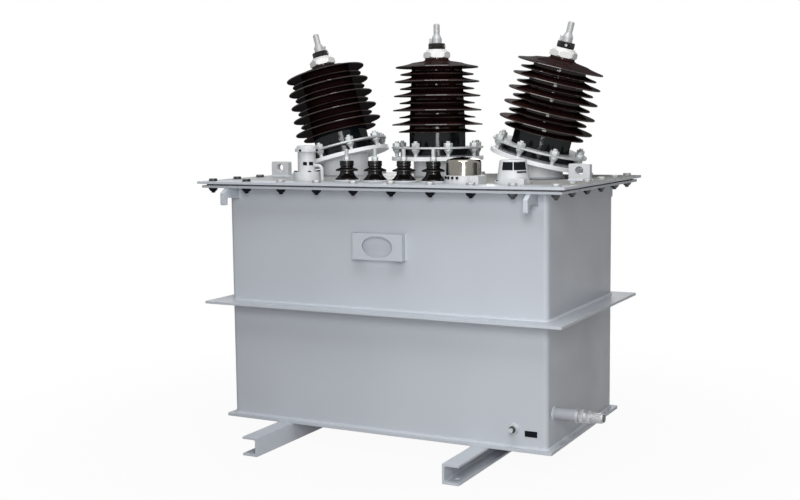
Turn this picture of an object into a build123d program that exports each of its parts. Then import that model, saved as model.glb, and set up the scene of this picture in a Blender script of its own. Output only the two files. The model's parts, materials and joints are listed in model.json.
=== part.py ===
# Oil-filled three-phase power transformer on skid channels.
# A welded two-course tank carries a bolted cover with three porcelain high-voltage
# bushings on risers, four low-voltage bushings and the usual oil fittings.
# Frame: X along the front, Y to the back, Z up, origin on the floor at the middle of
# the anchor holes. Millimetres.
import os
from math import asin, cos, radians, sin, tan

from build123d import *

# Cutting tools run past the faces that they cut by this much.
OVERRUN = 5

# Skid channels
SKID_LENGTH = 958
SKID_HEIGHT = 54
SKID_FLANGE = 48
SKID_STEEL = 6
SKID_BEND = 5
SKID_GAUGE = 580
ANCHOR_END = 39
ANCHOR_HOLE_RADIUS = 9

# Tank shell
TANK_WIDTH = 1012
TANK_DEPTH = 552
TANK_WALL = 6
TANK_CORNER = 14
TANK_LOWER_HEIGHT = 341
TANK_UPPER_HEIGHT = 341
BASE_THICK = 8
BASE_LIP = 17
FLANGE_THICK = 7
FLANGE_LIP = 59
PLATE_CORNER = 5

# Cover and its gasket
GASKET_THICK = 5
GASKET_INSET = 10
COVER_THICK = 7
COVER_LIP = 69

# High-voltage bushings, measured along their own axis from the riser's seat
HV_ROW_INSET = 163
HV_TILT = 15
HV_FLANGE_GAP = 51
HV_GASKET_THICK = 4
BODY_RADIUS = 86
CORE_TOP_RADIUS = 77
COLLAR_STEP = 24
COLLAR_HEIGHT = 20
COLLAR_CLEARANCE = 12
SHED_COUNT = 10
SHED_PITCH = 21.75
SHED_LIFT = 48
SHED_TIP = 4
SHED_TOP_SLOPE = 13
SHED_UNDER_SLOPE = 5
LARGE_SHED_BOTTOM = 55
LARGE_SHED_TOP = 50
SMALL_SHED_BOTTOM = 33
SMALL_SHED_TOP = 35
CROWN_RISE = 18
NECK_RADIUS = 36
NECK_HEIGHT = 8

# Risers and the clamp that holds each porcelain down
RISER_RADIUS = 74
RISER_WALL = 6
RISER_FLANGE_THICK = 12
RISER_LOW_GAP = 15
STUD_COUNT = 8
STUD_TURN = -5
STUD_RADIUS = 6
STUD_EDGE = 7
RING_THICK = 5
RING_CLEARANCE = 3

# Metal top of a high-voltage bushing
CAP_SIDES = 6
CAP_TURN = 30
CAP_CORNER_RADIUS = 42
CAP_CORNER_ROUND = 6
CAP_FOOT_CHAMFER = 4
CAP_SKIRT_HEIGHT = 13
CAP_CROWN_RADIUS = 28
CAP_CROWN_HEIGHT = 13
LOCKNUT_RADIUS = 25.5
LOCKNUT_HEIGHT = 18
TERMINAL_FOOT_RADIUS = 15.5
TERMINAL_FOOT_HEIGHT = 15
TERMINAL_ROD_RADIUS = 9.5
TERMINAL_TAPER_HEIGHT = 12
TERMINAL_ROD_HEIGHT = 29
TERMINAL_CHAMFER = 3

# Low-voltage bushings
LV_COUNT = 4
LV_PITCH = 93
LV_ROW_INSET = 71
LV_BASE_RADIUS = 34
LV_BASE_HEIGHT = 8
LV_BELL_HEIGHT = 22
LV_WAIST_RADIUS = 20
LV_BRIM_RADIUS = 33
LV_BRIM_HEIGHT = 4
LV_BRIM_SLOPE_HEIGHT = 6
LV_GROOVE_RADIUS = 18
LV_GROOVE_HEIGHT = 4
LV_HEAD_RADIUS = 20.5
LV_HEAD_HEIGHT = 15
LV_NUT_RADIUS = 10
LV_NUT_HEIGHT = 6
LV_STUD_RADIUS = 6
LV_STUD_HEIGHT = 27

# Oil filler with its vent pipe
FILLER_GAP = 62.5
FILLER_BASE_RADIUS = 40
FILLER_BASE_HEIGHT = 26
FILLER_NECK_RADIUS = 26.5
FILLER_NECK_WALL = 4
FILLER_NECK_HEIGHT = 59
FILLER_LID_RADIUS = 34
FILLER_LID_HEIGHT = 9
FILLER_CROWN_RADIUS = 29
FILLER_CROWN_HEIGHT = 9
FILLER_CROWN_ROUND = 5
VENT_RADIUS = 5
VENT_LIFT = 44
VENT_REACH = 20
VENT_BEND = 13

# Pressure relief dome
DOME_GAP = 5
DOME_RADIUS = 49
DOME_HEIGHT = 50
DOME_CROWN_RISE = 9
DOME_SHOULDER = 9
DOME_WALL = 3
DOME_BASE_LIP = 5
DOME_BASE_HEIGHT = 22
DOME_PAD_WIDTH = 27
DOME_PAD_DEPTH = 56
DOME_PAD_SIDE = 55
DOME_PAD_REACH = 57

# Tap changer housing
TAP_GAP = 42.5
TAP_BASE_RADIUS = 50
TAP_BASE_HEIGHT = 8
TAP_FOOT_RADIUS = 45
TAP_HEAD_RADIUS = 36
TAP_BODY_HEIGHT = 57
TAP_ROUND = 4
TAP_PAD_WIDTH = 56
TAP_PAD_DEPTH = 20
TAP_PAD_HEIGHT = 16
TAP_PAD_SIDE = 25

# Lifting lugs on the cover
LUG_WIDTH = 62
LUG_HEIGHT = 47
LUG_THICK = 20
LUG_HOLE_RADIUS = 12
LUG_HOLE_LIFT = 28
LUG_ROUND = 4
LUG_GAP = 3

# Lashing hooks under the tank flange
HOOK_THICK = 13
HOOK_REACH = 82
HOOK_ROOT = 4
HOOK_ROOT_DEPTH = 35
HOOK_DEPTH = 26
HOOK_NOSE_LENGTH = 22
HOOK_NOSE_DROP = 14
HOOK_TIP_LENGTH = 18
HOOK_TIP_DROP = 23
HOOK_ROUND = 4
HOOK_MOUTH_ROUND = 7
HOOK_SIDE_INSET = 32

# Nameplate bracket on the front wall
BRACKET_WIDTH = 158
BRACKET_HEIGHT = 75
BRACKET_STANDOFF = 25
BRACKET_STEEL = 4
BRACKET_WINDOW_WIDTH = 97
BRACKET_WINDOW_HEIGHT = 61
BRACKET_OFFSET = 8
BRACKET_DROP = 159

# Earthing boss on the front wall
EARTH_INSET = 97
EARTH_LIFT = 50
EARTH_BOSS_RADIUS = 12
EARTH_BOSS_LENGTH = 10
EARTH_STUD_RADIUS = 6
EARTH_STUD_LENGTH = 16

# Drain valve on the right wall
VALVE_INSET = 48
VALVE_LIFT = 92
VALVE_STUB_RADIUS = 17
VALVE_STUB_LENGTH = 64
VALVE_COLLAR_RADIUS = 19
VALVE_COLLAR_LENGTH = 7
VALVE_BODY_RADIUS = 15
VALVE_BODY_LENGTH = 36
VALVE_CAP_RADIUS = 13
VALVE_CAP_LENGTH = 32
VALVE_CAP_ROUND = 4

# Levels, from the floor up
BASE_TOP = SKID_HEIGHT + BASE_THICK
GIRTH_BOTTOM = BASE_TOP + TANK_LOWER_HEIGHT
GIRTH_TOP = GIRTH_BOTTOM + FLANGE_THICK
FLANGE_BOTTOM = GIRTH_TOP + TANK_UPPER_HEIGHT
FLANGE_TOP = FLANGE_BOTTOM + FLANGE_THICK
COVER_BOTTOM = FLANGE_TOP + GASKET_THICK
COVER_TOP = COVER_BOTTOM + COVER_THICK

# Sizes that follow from the ones above
FRONT_WALL_Y = -TANK_DEPTH / 2
SIDE_WALL_X = TANK_WIDTH / 2
HV_ROW_Y = TANK_DEPTH / 2 - HV_ROW_INSET
LV_ROW_Y = FRONT_WALL_Y + LV_ROW_INSET
ANCHOR_SPACING = SKID_LENGTH - 2 * ANCHOR_END
COLLAR_RADIUS = BODY_RADIUS + COLLAR_STEP
COLLAR_TOP = HV_GASKET_THICK + COLLAR_HEIGHT
STUD_CIRCLE = COLLAR_RADIUS + COLLAR_CLEARANCE + STUD_RADIUS
RISER_FLANGE_RADIUS = STUD_CIRCLE + STUD_RADIUS + STUD_EDGE
RISER_BORE = RISER_RADIUS - RISER_WALL
RISER_DROP = RISER_FLANGE_RADIUS * sin(radians(HV_TILT))
RISER_HEIGHT = RISER_LOW_GAP + RISER_DROP + RISER_FLANGE_THICK
RISER_REACH = RISER_FLANGE_RADIUS * cos(radians(HV_TILT))
HV_SPACING = RISER_FLANGE_RADIUS + HV_FLANGE_GAP + RISER_REACH
LUG_X = HV_SPACING + RISER_REACH + LUG_GAP + LUG_WIDTH / 2
LV_SPAN = LV_PITCH * (LV_COUNT - 1)
LV_EDGE_X = LV_SPAN / 2 + LV_BASE_RADIUS
DOME_BASE_RADIUS = DOME_RADIUS + DOME_BASE_LIP
DOME_X = LV_EDGE_X + DOME_GAP + DOME_BASE_RADIUS
TAP_X = DOME_X + DOME_BASE_RADIUS + TAP_GAP + TAP_BASE_RADIUS
FILLER_X = -(LV_EDGE_X + FILLER_GAP + FILLER_BASE_RADIUS)

# The three high-voltage positions: name, step along the row and lean outwards
HV_POSITIONS = (("left", -1), ("centre", 0), ("right", 1))


def slab(width, depth, corner, thick, bottom):
    """Flat plate with rounded corners whose underside is at the level bottom."""
    return Pos(0, 0, bottom) * extrude(RectangleRounded(width, depth, corner), amount=thick)


def frame_plate(lip, inset, thick, bottom):
    """Plate that stands out from the tank by lip, open inside the tank wall and inset."""
    outer = slab(TANK_WIDTH + 2 * lip, TANK_DEPTH + 2 * lip, PLATE_CORNER, thick, bottom)
    hole_width = TANK_WIDTH - 2 * inset
    hole_depth = TANK_DEPTH - 2 * inset
    hole = slab(hole_width, hole_depth, TANK_CORNER - inset, thick + 2 * OVERRUN, bottom - OVERRUN)
    return outer - hole


def turned(points):
    """Body of revolution about Z from an outline of (radius, height) points."""
    outline = Polyline(*[(radius, 0, height) for radius, height in points], close=True)
    return revolve(make_face(outline), axis=Axis.Z)


def rod(radius, length, bottom=0):
    """Upright round bar that stands on the level bottom."""
    return Pos(0, 0, bottom) * extrude(Circle(radius), amount=length)


def skid_channel(side):
    """Channel along Y with its web on the inner side and an anchor hole at each end."""
    outer = Rectangle(SKID_FLANGE, SKID_HEIGHT, align=(Align.MIN, Align.MIN))
    pocket_width = SKID_FLANGE - SKID_STEEL + OVERRUN
    pocket_height = SKID_HEIGHT - 2 * SKID_STEEL
    pocket = Rectangle(pocket_width, pocket_height, align=(Align.MIN, Align.MIN))
    pocket = Pos(SKID_STEEL, SKID_STEEL) * fillet(pocket.vertices().group_by(Axis.X)[0], SKID_BEND)
    profile = Plane.XZ * (Pos(SKID_GAUGE / 2, 0) * (outer - pocket))
    channel = extrude(profile, amount=SKID_LENGTH / 2, both=True)
    hole_x = SKID_GAUGE / 2 + (SKID_FLANGE + SKID_STEEL) / 2
    for end in (-1, 1):
        hole = rod(ANCHOR_HOLE_RADIUS, SKID_STEEL + 2 * OVERRUN, -OVERRUN)
        channel -= Pos(hole_x, end * ANCHOR_SPACING / 2, 0) * hole
    return channel if side > 0 else mirror(channel, about=Plane.YZ)


def tank_course(height, bottom):
    """One course of the tank wall, bent from plate with round corners."""
    outer = slab(TANK_WIDTH, TANK_DEPTH, TANK_CORNER, height, bottom)
    inner_width = TANK_WIDTH - 2 * TANK_WALL
    inner_depth = TANK_DEPTH - 2 * TANK_WALL
    inner_corner = TANK_CORNER - TANK_WALL
    return outer - slab(inner_width, inner_depth, inner_corner, height + 2 * OVERRUN, bottom - OVERRUN)


def cover_plate():
    """Cover with an opening under each riser."""
    width = TANK_WIDTH + 2 * COVER_LIP
    depth = TANK_DEPTH + 2 * COVER_LIP
    cover = slab(width, depth, PLATE_CORNER, COVER_THICK, COVER_BOTTOM)
    for name, step in HV_POSITIONS:
        opening = rod(RISER_BORE, COVER_THICK + 2 * OVERRUN, COVER_BOTTOM - OVERRUN)
        cover -= Pos(step * HV_SPACING, HV_ROW_Y, 0) * opening
    return cover


def hv_seat(step):
    """Place of a bushing's seat: the middle of the riser flange's top, leaning outwards."""
    seat = Pos(step * HV_SPACING, HV_ROW_Y, COVER_TOP + RISER_HEIGHT)
    return seat * Rot(0, step * HV_TILT, 0)


def riser(step):
    """Upright tube cut off at the lean of the bushing and closed by a bored flange."""
    tube_height = RISER_HEIGHT + RISER_DROP
    tube = rod(RISER_RADIUS, tube_height) - rod(RISER_BORE, tube_height + OVERRUN, -OVERRUN)
    tube = Pos(step * HV_SPACING, HV_ROW_Y, COVER_TOP) * tube
    above = Pos(0, 0, -RISER_FLANGE_THICK) * extrude(Circle(RISER_FLANGE_RADIUS), amount=2 * tube_height)
    disc = rod(RISER_FLANGE_RADIUS, RISER_FLANGE_THICK, -RISER_FLANGE_THICK)
    bore = rod(RISER_BORE, RISER_FLANGE_THICK + 2 * OVERRUN, -RISER_FLANGE_THICK - OVERRUN)
    return tube - hv_seat(step) * above + hv_seat(step) * (disc - bore)


def shed_radius(index, core):
    """Rim radius of a shed, small and large in turn from the bottom up."""
    up_share = index / (SHED_COUNT - 1)
    if index % 2:
        return core + LARGE_SHED_BOTTOM + (LARGE_SHED_TOP - LARGE_SHED_BOTTOM) * up_share
    return core + SMALL_SHED_BOTTOM + (SMALL_SHED_TOP - SMALL_SHED_BOTTOM) * up_share


def hv_porcelain():
    """Insulator: clamped collar, smooth body, alternating sheds, crown and neck."""
    outline = [(0, HV_GASKET_THICK), (COLLAR_RADIUS, HV_GASKET_THICK)]
    outline += [(COLLAR_RADIUS, COLLAR_TOP), (BODY_RADIUS, COLLAR_TOP)]
    for index in range(SHED_COUNT):
        up_share = index / (SHED_COUNT - 1)
        core = BODY_RADIUS + (CORE_TOP_RADIUS - BODY_RADIUS) * up_share
        rim = shed_radius(index, core)
        tip = COLLAR_TOP + SHED_LIFT + index * SHED_PITCH
        outline.append((core, tip + (rim - core) * tan(radians(SHED_UNDER_SLOPE))))
        outline.append((rim, tip))
        outline.append((rim, tip + SHED_TIP))
        if index < SHED_COUNT - 1:
            outline.append((core, tip + SHED_TIP + (rim - core) * tan(radians(SHED_TOP_SLOPE))))
    crown = hv_neck_top() - NECK_HEIGHT
    outline += [(NECK_RADIUS, crown), (NECK_RADIUS, crown + NECK_HEIGHT), (0, crown + NECK_HEIGHT)]
    return turned(outline)


def hv_neck_top():
    """Height of the porcelain's top above the riser's seat."""
    top_rim = COLLAR_TOP + SHED_LIFT + (SHED_COUNT - 1) * SHED_PITCH + SHED_TIP
    return top_rim + CROWN_RISE + NECK_HEIGHT


def clamp_ring():
    """Flat ring that presses on the porcelain's collar."""
    ring = Circle(RISER_FLANGE_RADIUS) - Circle(BODY_RADIUS + RING_CLEARANCE)
    return Pos(0, 0, COLLAR_TOP) * extrude(ring, amount=RING_THICK)


def clamp_studs():
    """Studs between the riser flange and the clamp ring."""
    stud = rod(STUD_RADIUS, COLLAR_TOP)
    return [location * stud for location in PolarLocations(STUD_CIRCLE, STUD_COUNT, STUD_TURN)]


def hv_cap():
    """Six-sided metal cap on the porcelain's neck, turned down to a round crown."""
    top = CAP_SKIRT_HEIGHT + CAP_CROWN_HEIGHT
    outline = RegularPolygon(CAP_CORNER_RADIUS, CAP_SIDES)
    outline = Rot(0, 0, CAP_TURN) * fillet(outline.vertices(), CAP_CORNER_ROUND)
    blank = extrude(outline, amount=top)
    points = [(0, 0), (CAP_CORNER_RADIUS - CAP_FOOT_CHAMFER, 0), (CAP_CORNER_RADIUS, CAP_FOOT_CHAMFER)]
    points += [(CAP_CORNER_RADIUS, CAP_SKIRT_HEIGHT), (CAP_CROWN_RADIUS, top), (0, top)]
    return Pos(0, 0, hv_neck_top()) * (blank & turned(points))


def hv_locknut():
    """Round locknut on top of the cap."""
    return rod(LOCKNUT_RADIUS, LOCKNUT_HEIGHT, hv_neck_top() + CAP_SKIRT_HEIGHT + CAP_CROWN_HEIGHT)


def hv_terminal():
    """Terminal: foot, taper and plain round rod with a chamfered end."""
    foot = hv_neck_top() + CAP_SKIRT_HEIGHT + CAP_CROWN_HEIGHT + LOCKNUT_HEIGHT
    taper = foot + TERMINAL_FOOT_HEIGHT
    rod_bottom = taper + TERMINAL_TAPER_HEIGHT
    rod_top = rod_bottom + TERMINAL_ROD_HEIGHT
    outline = [(0, foot), (TERMINAL_FOOT_RADIUS, foot), (TERMINAL_FOOT_RADIUS, taper)]
    outline += [(TERMINAL_ROD_RADIUS, rod_bottom), (TERMINAL_ROD_RADIUS, rod_top)]
    tip_radius = TERMINAL_ROD_RADIUS - TERMINAL_CHAMFER
    outline += [(tip_radius, rod_top + TERMINAL_CHAMFER), (0, rod_top + TERMINAL_CHAMFER)]
    return turned(outline)


def lv_places():
    """Seats of the low-voltage bushings on the cover, from left to right."""
    first = -LV_SPAN / 2
    return [Pos(first + index * LV_PITCH, LV_ROW_Y, COVER_TOP) for index in range(LV_COUNT)]


def lv_porcelain():
    """Bell-shaped insulator with a brim, a groove and a round head."""
    bell = LV_BASE_HEIGHT + LV_BELL_HEIGHT
    brim = bell + LV_BRIM_HEIGHT
    groove = brim + LV_BRIM_SLOPE_HEIGHT
    head = groove + LV_GROOVE_HEIGHT
    top = head + LV_HEAD_HEIGHT
    outline = [(0, 0), (LV_BASE_RADIUS, 0), (LV_BASE_RADIUS, LV_BASE_HEIGHT)]
    outline += [(LV_WAIST_RADIUS, bell), (LV_BRIM_RADIUS, bell), (LV_BRIM_RADIUS, brim)]
    outline += [(LV_GROOVE_RADIUS, groove), (LV_GROOVE_RADIUS, head)]
    return turned(outline + [(LV_HEAD_RADIUS, head), (LV_HEAD_RADIUS, top), (0, top)])


def lv_stud():
    """Terminal stud with the nut that seats on the insulator's head."""
    bottom = LV_BASE_HEIGHT + LV_BELL_HEIGHT + LV_BRIM_HEIGHT + LV_BRIM_SLOPE_HEIGHT
    bottom += LV_GROOVE_HEIGHT + LV_HEAD_HEIGHT
    stud = rod(LV_STUD_RADIUS, LV_NUT_HEIGHT + LV_STUD_HEIGHT, bottom)
    return stud + rod(LV_NUT_RADIUS, LV_NUT_HEIGHT, bottom)


def filler_place():
    """Middle of the oil filler's foot on the cover."""
    return Pos(FILLER_X, LV_ROW_Y, COVER_TOP)


def filler_neck():
    """Filler tube on a round base."""
    height = FILLER_BASE_HEIGHT + FILLER_NECK_HEIGHT
    neck = rod(FILLER_BASE_RADIUS, FILLER_BASE_HEIGHT) + rod(FILLER_NECK_RADIUS, height)
    bore = rod(FILLER_NECK_RADIUS - FILLER_NECK_WALL, height + 2 * OVERRUN, -OVERRUN)
    return filler_place() * (neck - bore)


def filler_lid():
    """Flanged lid with a rounded crown."""
    bottom = FILLER_BASE_HEIGHT + FILLER_NECK_HEIGHT
    crown = rod(FILLER_CROWN_RADIUS, FILLER_CROWN_HEIGHT, bottom + FILLER_LID_HEIGHT)
    crown = fillet(crown.edges().group_by(Axis.Z)[-1], FILLER_CROWN_ROUND)
    return filler_place() * (rod(FILLER_LID_RADIUS, FILLER_LID_HEIGHT, bottom) + crown)


def vent_pipe():
    """Bent pipe from the filler's neck down to the cover, clear of the base."""
    out = FILLER_BASE_RADIUS + VENT_RADIUS + VENT_REACH - VENT_BEND
    path = FilletPolyline(
        (FILLER_NECK_RADIUS, 0, VENT_LIFT), (out, 0, VENT_LIFT), (out, 0, 0), radius=VENT_BEND
    )
    section = Plane(origin=path @ 0, z_dir=path % 0) * Circle(VENT_RADIUS)
    pipe = sweep(section, path=path) - rod(FILLER_NECK_RADIUS, 2 * VENT_LIFT)
    return filler_place() * pipe


def dome_place():
    """Middle of the relief dome's foot on the cover."""
    return Pos(DOME_X, LV_ROW_Y, COVER_TOP)


def relief_base():
    """Flange under the relief dome with a bolting pad at its front right."""
    pad = Rectangle(DOME_PAD_WIDTH, DOME_PAD_DEPTH, align=(Align.CENTER, Align.MIN))
    pad = Pos(DOME_PAD_SIDE, -DOME_PAD_REACH) * extrude(pad, amount=DOME_BASE_HEIGHT)
    return dome_place() * (rod(DOME_BASE_RADIUS, DOME_BASE_HEIGHT) + pad)


def pressed_cap(radius, height, shoulder):
    """Round cap with upright sides, a rounded shoulder and a shallow crown."""
    side = height - DOME_CROWN_RISE
    ball_radius = (radius**2 + DOME_CROWN_RISE**2) / (2 * DOME_CROWN_RISE)
    half_spread = asin(radius / ball_radius) / 2
    drop = ball_radius * (1 - cos(half_spread))
    crown = ThreePointArc((radius, side), (ball_radius * sin(half_spread), height - drop), (0, height))
    section = make_face(crown + Polyline((0, height), (0, 0), (radius, 0), (radius, side)))
    rim = section.vertices().sort_by_distance((radius, side))[:1]
    return revolve(Plane.XZ * fillet(rim, shoulder), axis=Axis.Z)


def relief_dome():
    """Pressed cover of the relief valve, open underneath."""
    outer = pressed_cap(DOME_RADIUS, DOME_HEIGHT, DOME_SHOULDER)
    inner = pressed_cap(DOME_RADIUS - DOME_WALL, DOME_HEIGHT - DOME_WALL, DOME_SHOULDER - DOME_WALL)
    return dome_place() * Pos(0, 0, DOME_BASE_HEIGHT) * (outer - inner)


def tap_changer():
    """Tapered housing on a round base with a bolting pad in front."""
    head = TAP_BASE_HEIGHT + TAP_BODY_HEIGHT
    outline = [(0, 0), (TAP_BASE_RADIUS, 0), (TAP_BASE_RADIUS, TAP_BASE_HEIGHT)]
    outline += [(TAP_FOOT_RADIUS, TAP_BASE_HEIGHT), (TAP_HEAD_RADIUS, head), (0, head)]
    housing = turned(outline)
    housing = fillet(housing.edges().group_by(Axis.Z)[-1], TAP_ROUND)
    pad = extrude(Rectangle(TAP_PAD_WIDTH, TAP_PAD_DEPTH), amount=TAP_PAD_HEIGHT)
    pad = Pos(TAP_PAD_SIDE, -TAP_FOOT_RADIUS, 0) * pad
    return Pos(TAP_X, LV_ROW_Y, COVER_TOP) * (housing + pad)


def lifting_lug(side):
    """Upright plate with a lifting hole, near an end of the cover."""
    outline = Rectangle(LUG_WIDTH, LUG_HEIGHT, align=(Align.CENTER, Align.MIN))
    outline = fillet(outline.vertices().group_by(Axis.Y)[-1], LUG_ROUND)
    plate = Plane.XZ * (outline - Pos(0, LUG_HOLE_LIFT) * Circle(LUG_HOLE_RADIUS))
    lug = extrude(plate, amount=LUG_THICK / 2, both=True)
    return Pos(side * LUG_X, 0, COVER_TOP) * lug


def lashing_hook(side, end):
    """Hook plate close under the tank flange, with a sloped nose and a root cut to the wall."""
    drop = HOOK_DEPTH + HOOK_TIP_DROP
    tip = HOOK_REACH - HOOK_TIP_LENGTH
    outline = Polyline(
        (-HOOK_ROOT, 0), (HOOK_REACH - HOOK_NOSE_LENGTH, 0), (HOOK_REACH, -HOOK_NOSE_DROP),
        (HOOK_REACH, -drop), (tip, -drop), (tip, -HOOK_DEPTH), (-HOOK_ROOT, -HOOK_ROOT_DEPTH), close=True,
    )
    face = make_face(outline)
    face = fillet(face.vertices().group_by(Axis.Y)[0], HOOK_ROUND)
    mouth = face.vertices().sort_by_distance((tip, -HOOK_DEPTH))[:1]
    face = fillet(mouth, HOOK_MOUTH_ROUND)
    hook = extrude(Plane.YZ * face, amount=HOOK_THICK / 2, both=True)
    hook = hook if end > 0 else mirror(hook, about=Plane.XZ)
    x = SIDE_WALL_X - HOOK_SIDE_INSET
    hook = Pos(side * x, end * TANK_DEPTH / 2, FLANGE_BOTTOM) * hook
    return hook - slab(TANK_WIDTH, TANK_DEPTH, TANK_CORNER, TANK_UPPER_HEIGHT, GIRTH_TOP)


def nameplate_bracket():
    """Bent plate that stands off the front wall on two side flanges, with an oval window."""
    inner_width = BRACKET_WIDTH - 2 * BRACKET_STEEL
    plate = Rectangle(BRACKET_WIDTH, BRACKET_STANDOFF, align=(Align.CENTER, Align.MAX))
    plate -= Rectangle(inner_width, BRACKET_STANDOFF - BRACKET_STEEL, align=(Align.CENTER, Align.MAX))
    channel = extrude(plate, amount=BRACKET_HEIGHT / 2, both=True)
    window = Plane.XZ * Ellipse(BRACKET_WINDOW_WIDTH / 2, BRACKET_WINDOW_HEIGHT / 2)
    channel -= extrude(window, amount=BRACKET_STANDOFF + OVERRUN)
    return Pos(BRACKET_OFFSET, FRONT_WALL_Y, FLANGE_BOTTOM - BRACKET_DROP) * channel


def earth_boss():
    """Welded boss with its stud, pointing forwards."""
    boss = rod(EARTH_BOSS_RADIUS, EARTH_BOSS_LENGTH)
    boss += rod(EARTH_STUD_RADIUS, EARTH_BOSS_LENGTH + EARTH_STUD_LENGTH)
    x = SIDE_WALL_X - EARTH_INSET
    return Pos(x, FRONT_WALL_Y, BASE_TOP + EARTH_LIFT) * Rot(90, 0, 0) * boss


def valve_place():
    """Root of the drain valve on the right wall, with its axis along X."""
    return Pos(SIDE_WALL_X, FRONT_WALL_Y + VALVE_INSET, BASE_TOP + VALVE_LIFT) * Rot(0, 90, 0)


def drain_stub():
    """Pipe stub that carries the drain valve."""
    return valve_place() * rod(VALVE_STUB_RADIUS, VALVE_STUB_LENGTH)


def drain_valve_body():
    """Valve body with the collar that seats on the pipe stub."""
    collar = rod(VALVE_COLLAR_RADIUS, VALVE_COLLAR_LENGTH, VALVE_STUB_LENGTH)
    body = rod(VALVE_BODY_RADIUS, VALVE_BODY_LENGTH, VALVE_STUB_LENGTH + VALVE_COLLAR_LENGTH)
    return valve_place() * (collar + body)


def drain_valve_cap():
    """Screw cap that closes the valve's outlet."""
    bottom = VALVE_STUB_LENGTH + VALVE_COLLAR_LENGTH + VALVE_BODY_LENGTH
    cap = rod(VALVE_CAP_RADIUS, VALVE_CAP_LENGTH, bottom)
    return valve_place() * fillet(cap.edges().group_by(Axis.Z)[-1], VALVE_CAP_ROUND)


def build():
    """All pieces by node name. A list holds like pieces that share a node."""
    parts = {
        "skid_channel_left": skid_channel(-1),
        "skid_channel_right": skid_channel(1),
        "base_plate": slab(
            TANK_WIDTH + 2 * BASE_LIP, TANK_DEPTH + 2 * BASE_LIP, PLATE_CORNER, BASE_THICK, SKID_HEIGHT
        ),
        "tank_wall_lower": tank_course(TANK_LOWER_HEIGHT, BASE_TOP),
        "girth_flange": frame_plate(FLANGE_LIP, TANK_WALL, FLANGE_THICK, GIRTH_BOTTOM),
        "tank_wall_upper": tank_course(TANK_UPPER_HEIGHT, GIRTH_TOP),
        "tank_flange": frame_plate(FLANGE_LIP, TANK_WALL, FLANGE_THICK, FLANGE_BOTTOM),
        "cover_gasket": frame_plate(FLANGE_LIP - GASKET_INSET, TANK_WALL, GASKET_THICK, FLANGE_TOP),
        "cover_plate": cover_plate(),
    }
    gaskets, studs, locknuts = [], [], []
    for name, step in HV_POSITIONS:
        seat = hv_seat(step)
        parts[f"riser_{name}"] = riser(step)
        parts[f"hv_porcelain_{name}"] = seat * hv_porcelain()
        parts[f"clamp_ring_{name}"] = seat * clamp_ring()
        parts[f"hv_cap_{name}"] = seat * hv_cap()
        parts[f"hv_terminal_{name}"] = seat * hv_terminal()
        gaskets.append(seat * rod(COLLAR_RADIUS, HV_GASKET_THICK))
        studs += [seat * stud for stud in clamp_studs()]
        locknuts.append(seat * hv_locknut())
    parts["hv_gaskets"] = gaskets
    parts["clamp_studs"] = studs
    parts["hv_locknuts"] = locknuts
    for number, place in enumerate(lv_places(), start=1):
        parts[f"lv_porcelain_{number}"] = place * lv_porcelain()
    parts["lv_studs"] = [place * lv_stud() for place in lv_places()]
    parts["filler_neck"] = filler_neck()
    parts["filler_lid"] = filler_lid()
    parts["vent_pipe"] = vent_pipe()
    parts["relief_base"] = relief_base()
    parts["relief_dome"] = relief_dome()
    parts["tap_changer"] = tap_changer()
    parts["lifting_lugs"] = [lifting_lug(side) for side in (-1, 1)]
    parts["lashing_hooks"] = [lashing_hook(side, end) for side in (-1, 1) for end in (-1, 1)]
    parts["nameplate_bracket"] = nameplate_bracket()
    parts["earth_boss"] = earth_boss()
    parts["drain_stub"] = drain_stub()
    parts["drain_valve_body"] = drain_valve_body()
    parts["drain_valve_cap"] = drain_valve_cap()
    return parts


def main():
    """Write one STEP file for each node."""
    os.makedirs("parts", exist_ok=True)
    for name, shape in build().items():
        if isinstance(shape, list):
            shape = Compound(children=shape)
        export_step(shape, f"parts/{name}.step")


main()
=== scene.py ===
import json
from math import atan2, ceil, cos, pi, radians, sin, tan

import bmesh
import bpy
from mathutils import Matrix, Vector


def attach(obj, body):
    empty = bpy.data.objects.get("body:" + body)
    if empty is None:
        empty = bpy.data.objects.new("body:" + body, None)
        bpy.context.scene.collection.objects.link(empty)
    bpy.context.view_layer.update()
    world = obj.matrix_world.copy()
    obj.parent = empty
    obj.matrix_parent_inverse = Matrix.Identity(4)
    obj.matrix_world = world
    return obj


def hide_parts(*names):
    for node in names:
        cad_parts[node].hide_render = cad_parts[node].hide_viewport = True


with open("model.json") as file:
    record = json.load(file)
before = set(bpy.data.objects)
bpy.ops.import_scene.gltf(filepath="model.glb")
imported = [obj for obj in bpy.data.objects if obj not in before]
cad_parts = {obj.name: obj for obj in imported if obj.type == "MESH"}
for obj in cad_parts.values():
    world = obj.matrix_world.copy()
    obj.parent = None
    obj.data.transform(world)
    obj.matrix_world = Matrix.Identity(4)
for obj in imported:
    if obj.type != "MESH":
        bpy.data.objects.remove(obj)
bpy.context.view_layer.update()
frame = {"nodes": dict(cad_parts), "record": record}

NODES = frame["nodes"]
MOUNTS = {mount["name"]: mount for mount in frame["record"]["mounts"]}
SIDES = ("left", "centre", "right")

# Lengths are in metres. The size of a washer or a thread is its radius and its length. That of a
# plain bar has the rounding of its edges too. That of a nut or a bolt head is half its width across
# the flats and its height.

# Camera: place, turn about the upright, dip, roll, and the lens on its sensor in millimetres
CAMERA_PLACE = Vector((1.59317, -3.20005, 0.94461))
CAMERA_TURN = radians(27.54)
CAMERA_DIP = radians(6.24)
CAMERA_ROLL = radians(-0.65)
CAMERA_LENS = 53.5
CAMERA_SENSOR = 36

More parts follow.
